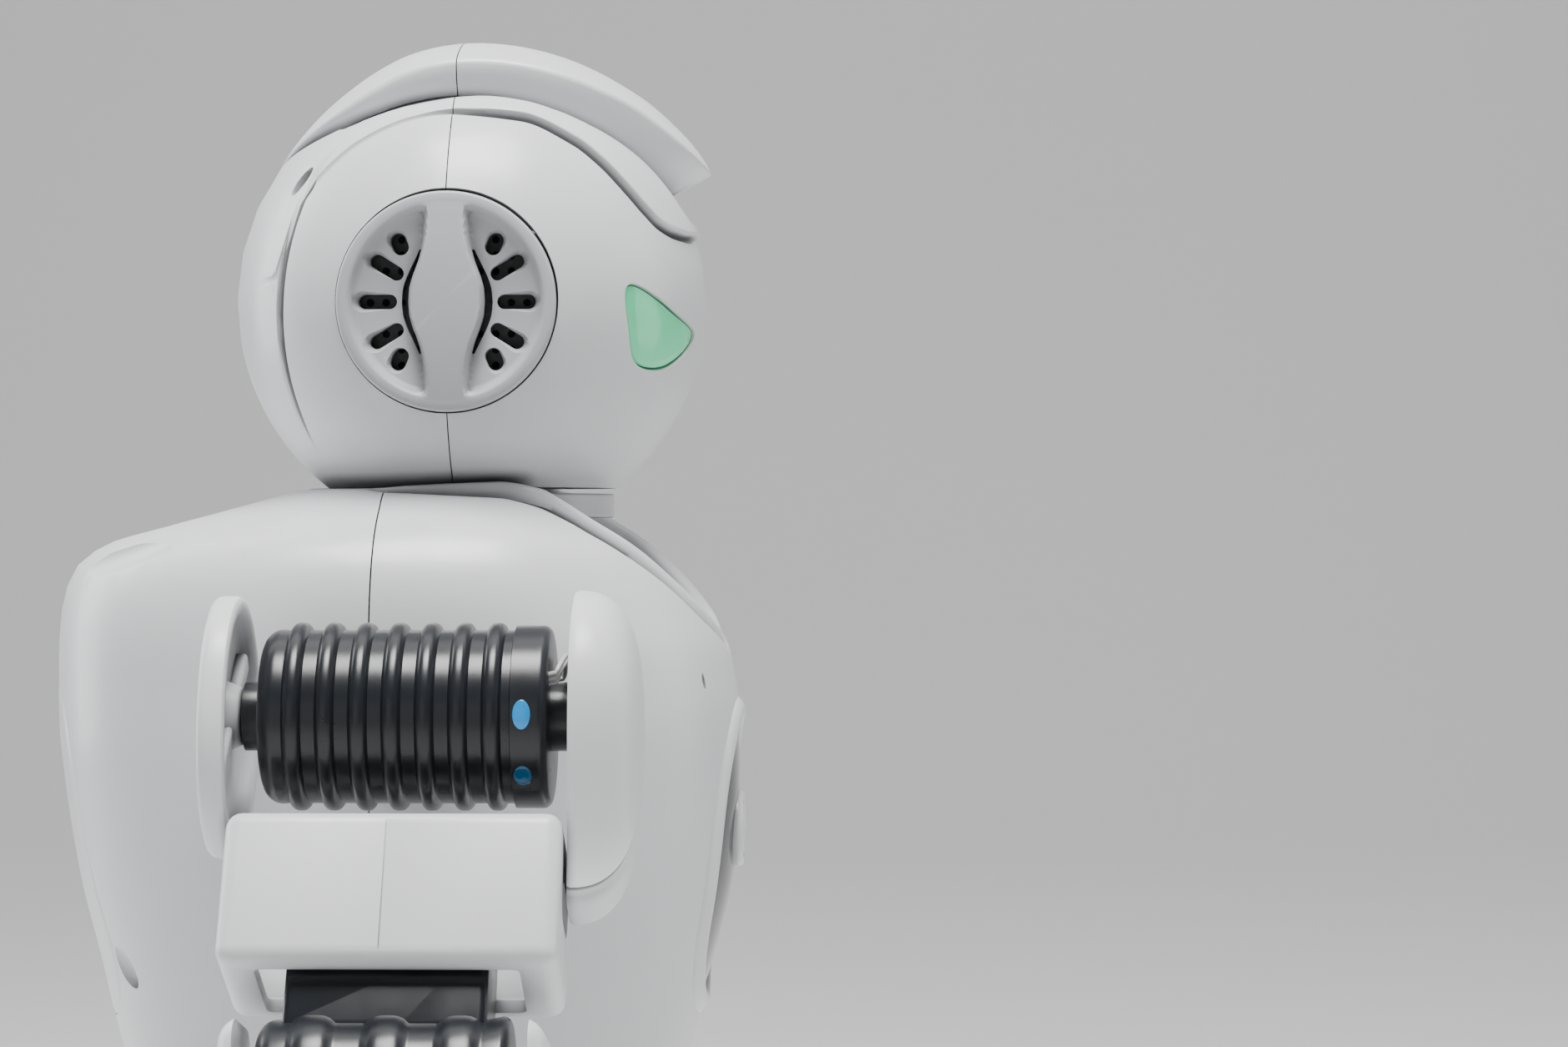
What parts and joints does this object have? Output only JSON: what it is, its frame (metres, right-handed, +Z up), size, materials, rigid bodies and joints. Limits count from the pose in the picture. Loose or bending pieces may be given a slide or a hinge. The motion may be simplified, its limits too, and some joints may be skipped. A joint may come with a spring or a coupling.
{
  "type": "companion robot",
  "caption": "Desktop companion robot with a crested ball head, ear grilles, lit eyes, rounded torso, servo arms and a two wheel drive base.",
  "frame": {"origin": "on the floor, at the middle of the robot's outline in plan", "axes": "+X the way the robot faces, +Y its left, +Z up"},
  "size_m": [0.1328, 0.2754, 0.3124],
  "materials": {
    "white_shell": "satin",
    "ear_plastic": "satin",
    "grille_mesh": "matte",
    "eye_lens": "glossy, lit from behind",
    "black_servo": "satin",
    "gloss_black": "gloss",
    "frame_metal": "satin",
    "circuit": "matte",
    "battery": "satin",
    "tyre_rubber": "matte",
    "steel": "polished",
    "lead": "satin"
  },
  "bodies": {
    "torso": {"torso_shell_front": "white_shell", "torso_shell_back": "white_shell", "collar_ring": "white_shell", "chest_panel": "gloss_black", "chest_ring": "white_shell", "back_panel": "white_shell", "battery_pack": "battery", "main_board": "circuit", "neck_pan_servo": "black_servo", "spine_frame": "frame_metal", "waist_ring": "gloss_black", "base_shell": "white_shell", "base_plate": "gloss_black", "caster_housing_front": "gloss_black", "caster_housing_rear": "gloss_black", "shoulder_pitch_servo_right": "black_servo", "shoulder_pitch_servo_left": "black_servo", "drive_motor_right": "black_servo", "drive_motor_left": "black_servo"},
    "neck": {"neck_yoke": "frame_metal", "neck_ring": "white_shell"},
    "head": {"head_shell_front": "white_shell", "head_shell_back": "white_shell", "head_crest": "white_shell", "ear_cover_right": "ear_plastic", "ear_cover_left": "ear_plastic", "ear_speaker_right": "grille_mesh", "ear_speaker_left": "grille_mesh", "eye_lens_right": "eye_lens", "eye_lens_left": "eye_lens", "eye_board": "circuit", "head_tilt_servo": "black_servo"},
    "chest_button": {"chest_button": "white_shell"},
    "power_button": {"power_button": "gloss_black"},
    "caster_ball_front": {"caster_ball_front": "steel"},
    "caster_ball_rear": {"caster_ball_rear": "steel"},
    "shoulder_right": {"shoulder_drum_right": "black_servo", "servo_lead_right": "lead"},
    "upper_arm_right": {"upper_arm_housing_right": "white_shell", "arm_cheek_rear_right": "white_shell", "arm_cheek_front_right": "white_shell", "elbow_servo_right": "black_servo"},
    "forearm_right": {"forearm_shell_right": "white_shell"},
    "finger_a_right": {"finger_a_right": "black_servo"},
    "finger_b_right": {"finger_b_right": "black_servo"},
    "wheel_right": {"wheel_hub_right": "white_shell", "tyre_right": "tyre_rubber"},
    "shoulder_left": {"shoulder_drum_left": "black_servo", "servo_lead_left": "lead"},
    "upper_arm_left": {"upper_arm_housing_left": "white_shell", "arm_cheek_rear_left": "white_shell", "arm_cheek_front_left": "white_shell", "elbow_servo_left": "black_servo"},
    "forearm_left": {"forearm_shell_left": "white_shell"},
    "finger_a_left": {"finger_a_left": "black_servo"},
    "finger_b_left": {"finger_b_left": "black_servo"},
    "wheel_left": {"wheel_hub_left": "white_shell", "tyre_left": "tyre_rubber"}
  },
  "joints": [
    {"name": "head_pan", "type": "hinge", "parent": "torso", "child": "neck", "pos_m": [0.0124, 0, 0.22], "axis": [0, 0, 1], "range_deg": [-80, 80]},
    {"name": "head_tilt", "type": "hinge", "parent": "neck", "child": "head", "pos_m": [0.0124, 0, 0.262], "axis": [0, 1, 0], "range_deg": [-15, 16]},
    {"name": "chest_button_press", "type": "slide", "parent": "torso", "child": "chest_button", "axis": [-1, 0, 0], "range_m": [0, 0.0015], "stiffness_N_per_m": 400},
    {"name": "power_button_press", "type": "slide", "parent": "torso", "child": "power_button", "axis": [1, 0, 0], "range_m": [0, 0.0012], "stiffness_N_per_m": 400},
    {"name": "caster_front_roll", "type": "hinge", "parent": "torso", "child": "caster_ball_front", "pos_m": [0.042, 0, 0.009], "axis": [0, 1, 0], "continuous": true},
    {"name": "caster_rear_roll", "type": "hinge", "parent": "torso", "child": "caster_ball_rear", "pos_m": [-0.042, 0, 0.009], "axis": [0, 1, 0], "continuous": true},
    {"name": "shoulder_pitch_right", "type": "hinge", "parent": "torso", "child": "shoulder_right", "pos_m": [0.0093, 0, 0.186], "axis": [0, -1, 0], "range_deg": [-60, 150]},
    {"name": "shoulder_roll_right", "type": "hinge", "parent": "shoulder_right", "child": "upper_arm_right", "pos_m": [0.0093, -0.078, 0.186], "axis": [-1, 0, 0], "range_deg": [-15, 50]},
    {"name": "elbow_right", "type": "hinge", "parent": "upper_arm_right", "child": "forearm_right", "pos_m": [0.0093, -0.113, 0.12538], "axis": [-1, 0, 0], "range_deg": [0, 80]},
    {"name": "finger_a_right", "type": "hinge", "parent": "forearm_right", "child": "finger_a_right", "pos_m": [0.0007, -0.12568, 0.07805], "axis": [0, -0.9659, 0.2588], "range_deg": [-20, 7]},
    {"name": "finger_b_right", "type": "hinge", "parent": "forearm_right", "child": "finger_b_right", "pos_m": [0.0179, -0.12568, 0.07805], "axis": [0, -0.9659, 0.2588], "range_deg": [-7, 20]},
    {"name": "wheel_spin_right", "type": "hinge", "parent": "torso", "child": "wheel_right", "pos_m": [0, -0.0665, 0.038], "axis": [0, 1, 0], "continuous": true},
    {"name": "shoulder_pitch_left", "type": "hinge", "parent": "torso", "child": "shoulder_left", "pos_m": [0.0093, 0, 0.186], "axis": [0, -1, 0], "range_deg": [-60, 150]},
    {"name": "shoulder_roll_left", "type": "hinge", "parent": "shoulder_left", "child": "upper_arm_left", "pos_m": [0.0093, 0.078, 0.186], "axis": [1, 0, 0], "range_deg": [-15, 50]},
    {"name": "elbow_left", "type": "hinge", "parent": "upper_arm_left", "child": "forearm_left", "pos_m": [0.0093, 0.113, 0.12538], "axis": [1, 0, 0], "range_deg": [0, 80]},
    {"name": "finger_a_left", "type": "hinge", "parent": "forearm_left", "child": "finger_a_left", "pos_m": [0.0007, 0.12568, 0.07805], "axis": [0, -0.9659, -0.2588], "range_deg": [-20, 7]},
    {"name": "finger_b_left", "type": "hinge", "parent": "forearm_left", "child": "finger_b_left", "pos_m": [0.0179, 0.12568, 0.07805], "axis": [0, -0.9659, -0.2588], "range_deg": [-7, 20]},
    {"name": "wheel_spin_left", "type": "hinge", "parent": "torso", "child": "wheel_left", "pos_m": [0, 0.0665, 0.038], "axis": [0, 1, 0], "continuous": true}
  ],
  "couplings": [
    {"joint": "finger_b_right", "follows": "finger_a_right", "ratio": -1},
    {"joint": "finger_b_left", "follows": "finger_a_left", "ratio": -1}
  ]
}
